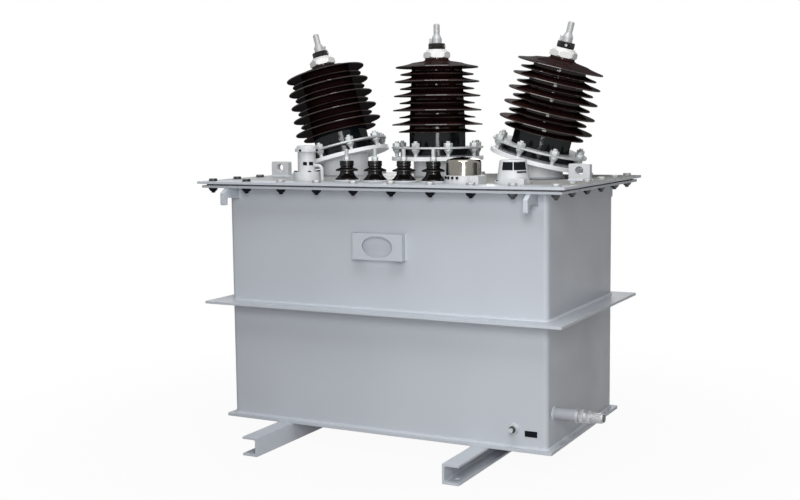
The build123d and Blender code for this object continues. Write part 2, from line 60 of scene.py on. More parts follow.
# Levels and outlines of the tank
SKID_TOP = 0.054
BASE_TOP = 0.062
GIRTH_BOTTOM = 0.403
GIRTH_TOP = 0.410
FLANGE_BOTTOM = 0.751
COVER_TOP = 0.770
TANK_WIDTH = 1.012
TANK_DEPTH = 0.552
TANK_CORNER = 0.014
BASE_DEPTH = 0.586
SKID_EDGES = (0.290, 0.338)

# Cover bolts: pattern, how far out the ends of the cover begin, turns, heads and nuts
BOLT_PITCH_X = 0.120
BOLT_PITCH_Y = 0.124
BOLT_COUNT_X = 10
BOLT_COUNT_Y = 6
COVER_END_X = 0.4
BOLT_TURN = radians(-3)
BOLT_TURN_SWING = 0.1
BOLT_TURN_RATE = 2.4
BOLT_WASHER = (0.0138, 0.0015)
BOLT_HEAD = (0.0108, 0.0062)
NUT_WASHER = (0.0138, 0.002)
NUT_FLAT = 0.0115
NUT_LEVELS = (0.002, 0.005)
NUT_NECK = (0.0085, 0.0087, 0.0105)
NUT_TIP = (0.0072, 0.0115)
BOLT_TIP = (0.0058, 0.0045)
BOLT_TIP_LEVEL = 0.0112
THREAD_PITCH = 0.00175
THREAD_DEPTH_SHARE = 0.4
HEX_POINTS = 36

# High-voltage bushing, heights along its own axis from the riser's seat
ROD_MIDDLE = 0.38325
COLLAR_BOTTOM = 0.004
COLLAR_TOP = 0.024
COLLAR_RADIUS = 0.110
COLLAR_CHAMFER = 0.003
RING_TOP = 0.029
BODY_RADIUS = 0.086
BODY_FOOT = 0.004
CORE_TOP_RADIUS = 0.077
SHED_COUNT = 10
SHED_FIRST = 0.072
SHED_PITCH = 0.02175
SHED_TIP = 0.004
LARGE_SHED = (0.055, 0.050)
SMALL_SHED = (0.033, 0.035)
SHED_RISE = tan(radians(13))
SHED_UNDERCUT = tan(radians(5))
SHED_CURVE_SHARE = 0.25
UNDER_SHARES = (1.0, 0.9, 0.6, 0.3, 0.08)
RIM_ANGLES = (-pi / 3, 0, pi / 3)
OVER_SHARES = (0.08, 0.25, 0.45, 0.65, 0.82, 0.93, 1.0)
CROWN_TOP = 0.28975
NECK_RADIUS = 0.036
NECK_TOP = 0.29775
NECK_FOOT = ((NECK_RADIUS + 0.006, CROWN_TOP - 0.001), (NECK_RADIUS, CROWN_TOP + 0.003))
RISER_RADIUS = 0.074

# Clamp of a high-voltage bushing
STUD_CIRCLE = 0.128
STUD_COUNT = 8
STUD_TURN = radians(-5)
STUD_END = (0.0062, 0.006, 0.002)
STUD_END_LIFT = 0.012
CLAMP_NUT = (0.0115, 0.0125)
CLAMP_NUT_TWIST = 0.7
UNDER_NUT = (0.0112, 0.007)
UNDER_NUT_TAPER = ((0, 0.007), (0.0108, 0.007), (0.0062, 0.015), (0, 0.015))

# Locknut of a high-voltage bushing, with the turns of its screw and of the pin beside it
LOCKNUT_BOTTOM = 0.32375
LOCKNUT_HEIGHT = 0.018
LOCKNUT_RADIUS = 0.0255
LOCKNUT_CHAMFER = 0.002
LOCKNUT_RIBS = 44
LOCKNUT_RIB_DEPTH = 0.0011
LOCKNUT_TURNS = {"left": (0.2, 0.4), "centre": (0.2, 3.6), "right": (-1.2, 3.6)}
SCREW_DEPTH = 0.003
SCREW = ((0, 0), (0.004, 0), (0.004, 0.0048), (0.002, 0.0048), (0.002, 0.003), (0, 0.003))
SCREW_EDGE = 0.0006
PIN = (0.003, 0.016, 0.001)
PIN_CIRCLE = 0.0195
PIN_DEPTH = 0.001
PIN_NUT = (0.0042, 0.004)

# Low-voltage bushing: outlines as radius and height above the cover
LV_COUNT = 4
LV_BASE_RADIUS = 0.034
LV_BASE_HEIGHT = 0.007
LV_BELL_HEIGHT = 0.021
LV_BELL_TAPER = 0.014
LV_BELL_POWER = 2.2
LV_BELL_SHARES = (0.15, 0.3, 0.5, 0.7, 0.85, 1.0)
LV_BRIM = ((0.021, 0.0298), (0.0325, 0.0298), (0.0325, 0.034), (0.024, 0.0372), (0.0185, 0.0395))
LV_TOP = 0.059
LV_HEAD = ((0.0182, 0.0435), (0.0205, 0.0445), (0.0205, 0.050), (0.0192, 0.0512),
           (0.0205, 0.0524), (0.0205, 0.0575), (0.019, LV_TOP), (0, LV_TOP))
LV_COLLAR = ((0.0335, 0.0), (0.0372, 0.0), (0.0372, 0.003), (0.0358, 0.0045), (0.0335, 0.0045))
LV_EDGE = 0.0016
LV_WASHER = (0.0105, 0.0015)
LV_NUT = (0.0085, 0.010)
LV_STUD = (0.006, 0.033)

# Fittings on the cover and the walls: middles in the plan, and sizes
FILLER = Vector((-0.276, -0.205, COVER_TOP))
DOME = Vector((0.2325, -0.205, COVER_TOP))
TAP = Vector((0.379, -0.205, COVER_TOP))
LUG = Vector((0.4984, 0, COVER_TOP))
LUG_SIZE = (0.062, 0.020)
LUG_CORNER = 0.001
HOOK_X = 0.474
HOOK_THICK = 0.013
HOOK_ROOT_DEPTH = 0.035
BRACKET = Vector((0.008, -0.276, 0.592))
BRACKET_SIZE = (0.158, 0.075)

# Small bolts of the fittings: circle that they lie on, height above the cover, and head
FILLER_LID_BOLTS = (0.034, 0.0895, (0.0035, 0.003))
FILLER_BASE_BOLTS = (0.0335, 0.026, (0.0045, 0.0035))
TAP_BOLTS = (0.0475, 0.008, (0.002, 0.003))
DOME_BOLTS = (0.054, 0.016, (0.0038, 0.003))
DOME_BOLT_ANGLES = (5, -10, -25, -38)

# Blank plates: angles from the front to the right, levels, and radii of the body at these levels
LABEL_THICK = 0.0008
LABEL_SUNK = 0.001
LABEL_STEPS = 10
TAP_LABELS = (
    ((-24.5, 20.5), (0.038, 0.0595), (0.04026, 0.03687)),
    ((24.0, 80.0), (0.038, 0.0595), (0.04026, 0.03687)),
    ((36.0, 80.0), (0.0305, 0.035), (0.04145, 0.04074)),
)
FILLER_LABELS = (
    ((8.0, 33.0), (0.0452, 0.0555), (0.0265, 0.0265)),
    ((46.0, 75.0), (0.0452, 0.0555), (0.0265, 0.0265)),
)
PLATE = Vector((0.4585, -0.276, 0.102))
PLATE_SIZE = (0.036, 0.0165, 0.0012)
PLATE_EDGE = 0.001
PLATE_BEND_SHARE = 0.3

# Earth stud and drain valve: roots on the walls, and distances from them along the axis
EARTH = Vector((0.409, -0.276, 0.112))
EARTH_BOSS_RADIUS = 0.012
EARTH_BOSS_LENGTH = 0.010
EARTH_WASHER = (0.0095, 0.002)
EARTH_NUT = (0.0075, 0.006)
VALVE = Vector((0.506, -0.228, 0.154))
VALVE_STUB_RADIUS = 0.017
VALVE_NUTS = ((0.073, (0.0165, 0.012)), (0.094, (0.0155, 0.010)))
VALVE_RIB = (0.0011, 0.022, 0.0008)
VALVE_RIB_COUNT = 20
VALVE_RIB_CIRCLE = 0.0130
VALVE_RIB_START = 0.111
VALVE_PLUG = (0.0105, 0.003, 0.001)
VALVE_PLUG_START = 0.1385

# Weld beads: spacing of the points, legs, depth in the plates, bulge, and ripples as share and rate
WELD_STEP = 0.003
WELD_LEG = 0.005
TANK_WELD_LEG = 0.006
SMALL_WELD_LEG = 0.004
WELD_SUNK = 0.0008
WELD_BULGE_SHARES = (0.68, 0.46)
WELD_RIPPLES = ((0.10, 1.9), (0.06, 0.37))

# Directions
UP = Vector((0, 0, 1))
FRONT = Vector((0, -1, 0))
RIGHT = Vector((1, 0, 0))


# Shapes

def close_ring(bm, before, after):
    """Joins two rings of vertices by faces. A ring of one vertex is a point on the axis."""
    count = max(len(before), len(after))
    made = []
    for i in range(count):
        corners = [before[i % len(before)], before[(i + 1) % len(before)]]
        corners += [after[(i + 1) % len(after)], after[i % len(after)]]
        kept = list(dict.fromkeys(corners))
        if len(kept) > 2:
            made.append(bm.faces.new(kept))
    return made


def finish_bands(bands, finish):
    """Gives the faces of some bands one of their piece's finishes, by number."""
    for face in sum(bands, []):
        face.material_index = finish


def loft(bm, rings, place, closed=False, finish=0):
    """Skins rings of points, given in the space of place. Open ends get caps."""
    made = [[bm.verts.new(place @ Vector(point)) for point in ring] for ring in rings]
    bands = [close_ring(bm, before, after) for before, after in zip(made, made[1:])]
    if closed:
        bands.append(close_ring(bm, made[-1], made[0]))
    else:
        bands.append([bm.faces.new(ring) for ring in (made[0][::-1], made[-1]) if len(ring) > 2])
    finish_bands(bands, finish)
    return bands


def circle(radius, height, count):
    """Points of a ring about Z, or one point where the radius is zero."""
    if radius == 0:
        return [(0, 0, height)]
    angles = [2 * pi * i / count for i in range(count)]
    return [(radius * cos(angle), radius * sin(angle), height) for angle in angles]


def turned(bm, profile, place, count, finish=0):
    """Body of revolution from an outline of (radius, height) points, from the bottom up."""
    rings = [circle(radius, height, count) for radius, height in profile]
    return loft(bm, rings, place, finish=finish)


def rounded(profile, size, steps=4):
    """Rounds the corners of an outline of (radius, height) points, all but its ends."""
    out = [profile[0]]
    for before, corner, after in zip(profile, profile[1:], profile[2:]):
        corner, before, after = Vector(corner), Vector(before), Vector(after)
        cut = min(size, (before - corner).length / 2, (after - corner).length / 2)
        start = corner + (before - corner).normalized() * cut
        end = corner + (after - corner).normalized() * cut
        for i in range(steps + 1):
            t = i / steps
            point = start * (1 - t) ** 2 + corner * 2 * t * (1 - t) + end * t ** 2
            out.append((point.x, point.y))
    return out + [profile[-1]]


def peg(bm, place, radius, length, edge, count, steps=4, finish=0):
    """Round bar or disc with rounded edges, standing on the place's XY plane."""
    profile = rounded([(0, 0), (radius, 0), (radius, length), (0, length)], edge, steps)
    turned(bm, profile, place, count, finish)


def washer(bm, place, radius, thick, finish=0):
    """Flat washer with softened edges."""
    peg(bm, place, radius, thick, thick / 3, count=28, steps=2, finish=finish)


def hexagon(flat, limit, height):
    """Ring of a hexagon with the half-width flat, its corners cut at the radius limit."""
    ring = []
    for i in range(HEX_POINTS):
        angle = 2 * pi * i / HEX_POINTS
        corner = (angle + pi / 6) % (pi / 3) - pi / 6
        radius = min(flat / cos(corner), limit)
        ring.append((radius * cos(angle), radius * sin(angle), height))
    return ring


def hex_nut(bm, place, flat, height, finish=0):
    """Nut or bolt head with chamfered corners, standing on the place's XY plane."""
    corner = flat / cos(pi / 6)
    chamfer = (corner - flat) * tan(pi / 6)
    rings = [hexagon(flat, flat, 0), hexagon(flat, corner, chamfer)]
    rings += [hexagon(flat, corner, height - chamfer), hexagon(flat, flat, height)]
    loft(bm, rings, place, finish=finish)


def thread(bm, place, radius, length, finish=0):
    """Threaded bar: ridges along Z and a chamfered tip."""
    turns = ceil(length / THREAD_PITCH)
    pitch = length / (turns + 0.5)
    depth = THREAD_DEPTH_SHARE * pitch
    profile = [(0, 0)]
    for i in range(turns):
        profile += [(radius - depth, i * pitch), (radius, (i + 0.5) * pitch)]
    profile += [(radius - depth, turns * pitch), (radius - 2 * depth, length), (0, length)]
    turned(bm, profile, place, count=20, finish=finish)


def rounded_rectangle(width, depth, corner, step, level=0.0):
    """Points and outward directions along a rectangle with round corners, anticlockwise."""
    path = []
    signs = ((1, 1), (-1, 1), (-1, -1), (1, -1))
    arc_steps = max(3, ceil(corner * pi / 2 / step))
    for quarter, (sx, sy) in enumerate(signs):
        centre = Vector((sx * (width / 2 - corner), sy * (depth / 2 - corner), level))
        for j in range(arc_steps + 1):
            angle = (quarter + j / arc_steps) * pi / 2
            out = Vector((cos(angle), sin(angle), 0))
            path.append((centre + corner * out, out))
        nx, ny = signs[(quarter + 1) % 4]
        after = Vector((nx * (width / 2 - corner), ny * (depth / 2 - corner), level)) + corner * out
        path += straight(path[-1][0], after, out, step)[1:-1]
    return path


def straight(start, end, out, step=WELD_STEP):
    """Points from start to end, both included, with one outward direction."""
    count = max(1, ceil((end - start).length / step))
    return [(start.lerp(end, i / count), out) for i in range(count + 1)]


def round_path(place, radius):
    """Points and outward directions along a circle in the place's XY plane."""
    turn = place.to_3x3()
    path = []
    for point in circle(1, 0, ceil(2 * pi * radius / WELD_STEP)):
        out = turn @ Vector(point)
        path.append((place.translation + radius * out, out))
    return path


def soft_plate(bm, place, size, edge):
    """Plate on the place's XY plane with rounded corners and softened upper edges."""
    width, depth, height = size
    bend = PLATE_BEND_SHARE * edge
    rings = []
    for inset, drop in ((0, height), (0, edge), (bend, bend), (edge, 0)):
        path = rounded_rectangle(width - 2 * inset, depth - 2 * inset, edge, width)
        rings.append([(point.x, point.y, height - drop) for point, out in path])
    loft(bm, rings, place)


def wrapped_plate(bm, centre, angles, levels, radii):
    """Thin plate bent round an upright body, between two angles from the front to the right."""
    start, end = (radians(angle) for angle in angles)
    section = [(radii[0] - LABEL_SUNK, levels[0]), (radii[0] + LABEL_THICK, levels[0])]
    section += [(radii[1] + LABEL_THICK, levels[1]), (radii[1] - LABEL_SUNK, levels[1])]
    rings = []
    for i in range(LABEL_STEPS + 1):
        out = outwards(start + (end - start) * i / LABEL_STEPS)
        rings.append([centre + radius * out + level * UP for radius, level in section])
    loft(bm, rings, Matrix())


def bead(bm, path, rise, leg=WELD_LEG, closed=False):
    """Rippled fillet weld along a path, between the outward direction and rise."""
    wide, narrow = WELD_BULGE_SHARES
    rings = []
    for i, (point, out) in enumerate(path):
        size = leg * (1 + sum(share * sin(rate * i) for share, rate in WELD_RIPPLES))
        section = [(-WELD_SUNK, -WELD_SUNK), (size, -WELD_SUNK), (wide * size, narrow * size)]
        section += [(narrow * size, wide * size), (-WELD_SUNK, size)]
        rings.append([point + a * out + b * rise for a, b in section])
    loft(bm, rings, Matrix(), closed)


# Places

def outwards(angle):
    """Level direction at an angle from the front to the right."""
    return Vector((sin(angle), -cos(angle), 0))


def upright(place, turn=0.0):
    """Space with Z up at a point, turned about it."""
    return spun(Matrix.Translation(place), turn)


def facing(place, axis):
    """Space at a point whose Z looks along an axis."""
    return Matrix.Translation(place) @ axis.to_track_quat("Z", "Y").to_matrix().to_4x4()


def spun(place, angle):
    """Space turned about its own Z."""
    return place @ Matrix.Rotation(angle, 4, "Z")


def raised(place, height):
    """Space moved along its own Z."""
    return place @ Matrix.Translation((0, 0, height))


def flipped(place):
    """Space turned upside down."""
    return place @ Matrix.Rotation(pi, 4, "X")


def piece(name, bm, slot, *finishes, sharp=35, replaced=()):
    """Makes an object from the shapes in bm, on the part's body, with its finishes."""
    bmesh.ops.recalc_face_normals(bm, faces=bm.faces)
    mesh = bpy.data.meshes.new(name)
    bm.to_mesh(mesh)
    bm.free()
    for finish in finishes or (slot,):
        mesh.materials.append(FINISHES[finish])
    mesh.shade_smooth()
    mesh.set_sharp_from_angle(angle=radians(sharp))
    obj = bpy.data.objects.new(name, mesh)
    bpy.context.scene.collection.objects.link(obj)
    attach(obj, "root")
    if replaced:
        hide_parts(*replaced)


# Finishes. Noise values lie mostly in the range below.

NOISE_RANGE = (0.3, 0.7)
PAINT_SHEEN = 0.25

# Painted shade on the cover's top, for shade and dark reflections: where it sets in along Y, where
# it deepens along X, and its thinnest share
SHADE_MARGIN = (-0.29, -0.22)
SHADE_DRIFT = (-0.5, 0.1)
SHADE_THIN_SHARE = 0.72


def new_material(name, **settings):
    """Material with a principled shader whose sockets named in settings are set."""
    material = bpy.data.materials.new(name)
    material.use_nodes = True
    shader = material.node_tree.nodes["Principled BSDF"]
    for socket, value in settings.items():
        shader.inputs[socket.replace("_", " ")].default_value = value
    return material, material.node_tree, shader


def add_node(tree, kind, links=None, **values):
    """Adds a node, sets its properties and sockets, and links sockets by name."""
    node = tree.nodes.new(kind)
    for key, value in values.items():
        if hasattr(node, key):
            setattr(node, key, value)
        else:
            node.inputs[key].default_value = value
    for key, source in (links or {}).items():
        tree.links.new(source, node.inputs[key])
    return node


def noise(tree, scale, detail=3.0, stretch=None):
    """Noise value over the object's own coordinates."""
    spot = add_node(tree, "ShaderNodeTexCoord").outputs["Object"]
    if stretch:
        node = add_node(tree, "ShaderNodeMapping", {"Vector": spot}, Scale=stretch)
        spot = node.outputs["Vector"]
    node = add_node(tree, "ShaderNodeTexNoise", {"Vector": spot}, Scale=scale, Detail=detail)
    return node.outputs["Fac"]


def ramp(tree, value, dark, light):
    """Colours from dark to light along a noise value."""
    node = add_node(tree, "ShaderNodeValToRGB", {"Fac": value})
    for element, place, colour in zip(node.color_ramp.elements, NOISE_RANGE, (dark, light)):
        element.position = place
        element.color = (*colour, 1)
    return node.outputs["Color"]


def spread(tree, value, low, high, start=NOISE_RANGE[0], end=NOISE_RANGE[1]):
    """Maps a value between start and end to the range from low to high."""
    node = add_node(tree, "ShaderNodeMapRange", {"Value": value})
    sockets = ("From Min", "From Max", "To Min", "To Max")
    for socket, limit in zip(sockets, (start, end, low, high)):
        node.inputs[socket].default_value = limit
    return node.outputs["Result"]


def times(tree, first, second):
    """Product of two values."""
    node = add_node(tree, "ShaderNodeMath", {0: first, 1: second}, operation="MULTIPLY")
    return node.outputs[0]


def bumped(tree, shader, value, distance, strength, soft_edge=0.0):
    """Raises the surface by a value, up to distance in metres, and softens sharp edges."""
    node = add_node(tree, "ShaderNodeBump", {"Height": value}, Strength=strength, Distance=distance)
    if soft_edge:
        bevel = add_node(tree, "ShaderNodeBevel", samples=6, Radius=soft_edge)
        tree.links.new(bevel.outputs["Normal"], node.inputs["Normal"])
    tree.links.new(node.outputs["Normal"], shader.inputs["Normal"])
    tree.links.new(node.outputs["Normal"], shader.inputs["Coat Normal"])


def shaded_on_top(tree, shader, tint, shade_tints):
    """Paints shade on a paint's upward side, a darker tint with the sheen taken away, behind a
    front margin left unshaded.
    """
    normal = add_node(tree, "ShaderNodeNewGeometry").outputs["True Normal"]
    up = add_node(tree, "ShaderNodeSeparateXYZ", {"Vector": normal}).outputs["Z"]
    spot = add_node(tree, "ShaderNodeTexCoord").outputs["Object"]
    spot = add_node(tree, "ShaderNodeSeparateXYZ", {"Vector": spot}).outputs
    # Share of painted shade: on upward faces, behind the front margin, deepening towards the right;
    # it also takes the sheen away
    share = times(tree, spread(tree, up, 0, 1), spread(tree, spot["Y"], 0, 1, *SHADE_MARGIN))
    share = times(tree, share, spread(tree, spot["X"], SHADE_THIN_SHARE, 1, *SHADE_DRIFT))
    sheen = spread(tree, share, PAINT_SHEEN, 0, 0, 1)
    tree.links.new(sheen, shader.inputs["Specular IOR Level"])
    layer = ramp(tree, noise(tree, scale=6.0), *shade_tints)
    links = {"Fac": share, "Color1": tint, "Color2": layer}
    return add_node(tree, "ShaderNodeMixRGB", links).outputs["Color"]


def paint(name, dark, light, roughness, shade_tints=None):
    """Sprayed enamel: slow drift of tint, orange peel and softened edges, and painted shade on top
    where its tints are given.
    """
    material, tree, shader = new_material(name, Specular_IOR_Level=PAINT_SHEEN)
    tint = ramp(tree, noise(tree, scale=2.2, detail=2.0), dark, light)
    if shade_tints:
        tint = shaded_on_top(tree, shader, tint, shade_tints)
    tree.links.new(tint, shader.inputs["Base Color"])
    gloss = spread(tree, noise(tree, scale=9.0), roughness - 0.06, roughness + 0.08)
    tree.links.new(gloss, shader.inputs["Roughness"])
    peel = noise(tree, scale=420.0, detail=1.0)
    bumped(tree, shader, peel, distance=0.0002, strength=0.25, soft_edge=0.0015)
    return material


def metal(name, dark, light, roughness, scale, metallic=1.0, stretch=None):
    """Plated or cast metal with a fine mottled grain. A dull one is less metallic."""
    material, tree, shader = new_material(name, Metallic=metallic)
    grain = noise(tree, scale, detail=4.0, stretch=stretch)
    tree.links.new(ramp(tree, grain, dark, light), shader.inputs["Base Color"])
    gloss = spread(tree, grain, roughness - 0.07, roughness + 0.1)
    tree.links.new(gloss, shader.inputs["Roughness"])
    bumped(tree, shader, grain, distance=0.0002, strength=0.2, soft_edge=0.0008)
    return material


def glaze(name, dark, light, roughness, coat, blur, ripple):
    """Porcelain glaze that varies in depth, with a rippled clear coat."""
    material, tree, shader = new_material(
        name, Specular_IOR_Level=0.0, Coat_Weight=coat, Coat_Roughness=blur, Coat_IOR=4.0)
    tint = ramp(tree, noise(tree, scale=14.0, detail=4.0), dark, light)
    tree.links.new(tint, shader.inputs["Base Color"])
    gloss = spread(tree, noise(tree, scale=40.0), roughness - 0.04, roughness + 0.06)
    tree.links.new(gloss, shader.inputs["Roughness"])
    bumped(tree, shader, noise(tree, scale=55.0, detail=2.0), distance=0.002, strength=ripple)
    return material


def matt(name, dark, light, sheen):
    """Matt rubber or enamel with a fine grain."""
    material, tree, shader = new_material(name, Specular_IOR_Level=sheen)
    grain = noise(tree, scale=180.0, detail=4.0)
    tree.links.new(ramp(tree, grain, dark, light), shader.inputs["Base Color"])
    tree.links.new(spread(tree, grain, 0.55, 0.75), shader.inputs["Roughness"])
    bumped(tree, shader, grain, distance=0.0003, strength=0.3)
    return material


# Dark tint, light tint, roughness, and the tints of the painted shade where there is any
TANK_TINTS = ((0.465, 0.493, 0.538), (0.503, 0.532, 0.578))
# Painted shade: tints that darken the cover's top in place of shade and dark reflections
COVER_SHADE_TINTS = ((0.28, 0.28, 0.274), (0.35, 0.35, 0.343))
PAINTS = {
    "tank_paint": (*TANK_TINTS, 0.38),
    "cover_paint_shaded": (*TANK_TINTS, 0.38, COVER_SHADE_TINTS),
    "fitting_paint": ((0.52, 0.535, 0.55), (0.575, 0.59, 0.605), 0.4),
    # Risers: paler paint, partly the fittings' own paler paint and partly painted light lifting
    # them out of the shade under their flanges
    "riser_paint_lit": ((0.75, 0.765, 0.785), (0.81, 0.825, 0.845), 0.4),
    # Drain stub: the tank's paint darkened as painted shade
    "stub_paint_shaded": ((0.33, 0.35, 0.382), (0.357, 0.378, 0.41), 0.38),
}

# Dark tint, light tint, roughness, weight of the clear coat, its blur and its ripple
GLAZES = {
    "hv_glaze": ((0.01, 0.0038, 0.0036), (0.021, 0.0078, 0.0072), 0.14, 0.045, 0.06, 0.4),
    "body_glaze": ((0.004, 0.0056, 0.0064), (0.007, 0.009, 0.0105), 0.3, 0.045, 0.1, 0.2),
    # Painted shade: the undersides' copy of the shed glaze with less coat, so they reflect less and
    # read darker
    "under_glaze_shaded": ((0.012, 0.0042, 0.004), (0.025, 0.009, 0.0084), 0.3, 0.014, 0.1, 0.4),
    # Painted highlight: the rims' copy, lighter and glossier, draws pale lines along them
    "rim_glaze_lit": ((0.008, 0.005, 0.0045), (0.05, 0.038, 0.035), 0.2, 0.14, 0.07, 0.4),
    "lv_glaze": ((0.003, 0.0024, 0.0024), (0.006, 0.0042, 0.0042), 0.12, 0.07, 0.07, 0.4),
}

# Dark tint, light tint, roughness, scale of the grain, and how metallic and stretched it is
METALS = {
    "zinc_plate": ((0.44, 0.465, 0.47), (0.53, 0.555, 0.56), 0.55, 60.0, 0.35),
    "cap_metal": ((0.59, 0.595, 0.59), (0.66, 0.665, 0.66), 0.55, 220.0, 0.2),
    "terminal_metal": ((0.33, 0.335, 0.34), (0.42, 0.425, 0.43), 0.5, 90.0, 0.35, (1, 1, 0.1)),
    "dark_steel": ((0.014, 0.0135, 0.013), (0.03, 0.029, 0.028), 0.42, 150.0),
    "chrome": ((0.2, 0.193, 0.17), (0.25, 0.24, 0.215), 0.12, 30.0),
    "valve_metal": ((0.37, 0.375, 0.388), (0.45, 0.455, 0.468), 0.4, 120.0, 0.5),
    "bolt_steel": ((0.05, 0.052, 0.055), (0.09, 0.092, 0.096), 0.36, 80.0),
}

# Dark tint, light tint and sheen
MATTS = {
    "gasket_rubber": ((0.13, 0.136, 0.143), (0.19, 0.197, 0.205), 0.3),
    "dark_enamel": ((0.005, 0.006, 0.008), (0.01, 0.0115, 0.015), 0.04),
}

FINISHES = {}
for maker, table in ((paint, PAINTS), (glaze, GLAZES), (metal, METALS), (matt, MATTS)):
    for finish_name, values in table.items():
        FINISHES[finish_name] = maker(finish_name, *values)

# Nodes whose finish is a copy of their slot's paint with painted light or shade
OWN_FINISHES = {
    "riser_left": "riser_paint_lit",
    "riser_centre": "riser_paint_lit",
    "riser_right": "riser_paint_lit",
    "cover_plate": "cover_paint_shaded",
    "drain_stub": "stub_paint_shaded",
}


def dress_frame():
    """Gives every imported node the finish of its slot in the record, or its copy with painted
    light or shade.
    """
    for part in frame["record"]["subparts"]:
        mesh = NODES[part["node"]].data
        mesh.materials.clear()
        mesh.materials.append(FINISHES[OWN_FINISHES.get(part["node"], part["material_slot"])])


# High-voltage bushings

def bushing_place(side):
    """Space of a bushing: the origin on the riser's seat and Z along its axis."""
    mount = MOUNTS[f"hv_terminal_{side}"]
    axis = Vector(mount["axis"])
    seat = Vector(mount["pos_m"]) - ROD_MIDDLE * axis
    return Matrix.Translation(seat) @ Matrix.Rotation(atan2(axis.x, axis.z), 4, "Y")


def shed_outline(index):
    """Outline of one shed from its root below, round its rim and up to its root above."""
    up = index / (SHED_COUNT - 1)
    core = BODY_RADIUS + (CORE_TOP_RADIUS - BODY_RADIUS) * up
    bottom, top = LARGE_SHED if index % 2 else SMALL_SHED
    width = bottom + (top - bottom) * up
    tip = SHED_FIRST + index * SHED_PITCH
    outline = [(core + width * (1 - t), tip + width * SHED_UNDERCUT * t) for t in UNDER_SHARES]
    nose = SHED_TIP / 2
    for angle in RIM_ANGLES:
        outline.append((core + width - nose + nose * cos(angle), tip + nose + nose * sin(angle)))
    for t in OVER_SHARES:
        rise = width * SHED_RISE * ((1 - SHED_CURVE_SHARE) * t + SHED_CURVE_SHARE * t ** 4)
        outline.append((core + width * (1 - t), tip + SHED_TIP + rise))
    return outline


def insulators():
    """Porcelain with its collar, body, sheds, crown and neck. Rims take a lighter, glossier copy of
    the glaze as painted highlight, undersides a duller copy as painted shade.
    """
    finishes = ("hv_glaze", "body_glaze", "under_glaze_shaded", "rim_glaze_lit")
    sheds = [shed_outline(index) for index in range(SHED_COUNT)]
    root = sheds[0][0]
    body = [
        (0, COLLAR_BOTTOM),
        (COLLAR_RADIUS, COLLAR_BOTTOM),
        (COLLAR_RADIUS, COLLAR_TOP - COLLAR_CHAMFER),
        (COLLAR_RADIUS - COLLAR_CHAMFER, COLLAR_TOP),
        (BODY_RADIUS + BODY_FOOT, COLLAR_TOP),
        (BODY_RADIUS, COLLAR_TOP + BODY_FOOT),
        root,
        (0, root[1]),
    ]
    ribbed = [(0, root[1]), *sum(sheds, []), *NECK_FOOT, (NECK_RADIUS, NECK_TOP), (0, NECK_TOP)]
    for side in SIDES:
        bm = bmesh.new()
        place = bushing_place(side)
        turned(bm, body, place, count=96, finish=finishes.index("body_glaze"))
        bands = turned(bm, ribbed, place, count=96)
        for index, shed in enumerate(sheds):
            under = index * len(shed) + 1
            rim = under + len(UNDER_SHARES)
            over = rim + len(RIM_ANGLES) - 1
            finish_bands(bands[under:rim], finishes.index("under_glaze_shaded"))
            finish_bands(bands[rim:over], finishes.index("rim_glaze_lit"))
        piece(f"insulator_{side}", bm, "hv_glaze", *finishes, replaced=(f"hv_porcelain_{side}",))


def clamp_hardware():
    """Nuts with stud ends on each clamp ring, and tapered nuts under it."""
    for side in SIDES:
        bm = bmesh.new()
        for i in range(STUD_COUNT):
            spot = spun(bushing_place(side), STUD_TURN + 2 * pi * i / STUD_COUNT)
            spot = spun(spot @ Matrix.Translation((STUD_CIRCLE, 0, 0)), CLAMP_NUT_TWIST * i)
            above = raised(spot, RING_TOP)
            hex_nut(bm, above, *CLAMP_NUT)
            peg(bm, raised(above, STUD_END_LIFT), *STUD_END, count=24)
            under = flipped(raised(spot, COLLAR_TOP))
            hex_nut(bm, under, *UNDER_NUT)
            turned(bm, UNDER_NUT_TAPER, under, count=24)
        piece(f"clamp_nuts_{side}", bm, "zinc_plate")


def ribbed_ring(inset, level):
    """Ring of a locknut at a level, with four points to each rib and its groove."""
    ring = []
    for i in range(LOCKNUT_RIBS * 4):
        dip = LOCKNUT_RIB_DEPTH if i % 4 in (2, 3) else 0
        angle = 2 * pi * i / (LOCKNUT_RIBS * 4)
        radius = LOCKNUT_RADIUS - inset - dip
        ring.append((radius * cos(angle), radius * sin(angle), level))
    return ring


def locknuts():
    """Ribbed locknuts with a radial clamping screw, and the bleed pin beside each terminal."""
    nuts = bmesh.new()
    pins = bmesh.new()
    rings = [
        ribbed_ring(LOCKNUT_CHAMFER, 0),
        ribbed_ring(0, LOCKNUT_CHAMFER),
        ribbed_ring(0, LOCKNUT_HEIGHT - LOCKNUT_CHAMFER),
        ribbed_ring(LOCKNUT_CHAMFER, LOCKNUT_HEIGHT),
    ]
    for side, (screw_turn, pin_turn) in LOCKNUT_TURNS.items():
        base = raised(bushing_place(side), LOCKNUT_BOTTOM)
        loft(nuts, rings, base)
        screw = spun(raised(base, LOCKNUT_HEIGHT / 2), screw_turn)
        screw = screw @ Matrix.Translation((LOCKNUT_RADIUS - SCREW_DEPTH, 0, 0))
        screw = screw @ Matrix.Rotation(pi / 2, 4, "Y")
        turned(pins, rounded(SCREW, SCREW_EDGE), screw, count=24)
        pin = spun(raised(base, LOCKNUT_HEIGHT - PIN_DEPTH), pin_turn)
        pin = pin @ Matrix.Translation((PIN_CIRCLE, 0, 0))
        peg(pins, pin, *PIN, count=20)
        hex_nut(pins, pin, *PIN_NUT)
    piece("ribbed_locknuts", nuts, "dark_steel", replaced=("hv_locknuts",))
    piece("bleed_pins", pins, "terminal_metal")


# Low-voltage bushings

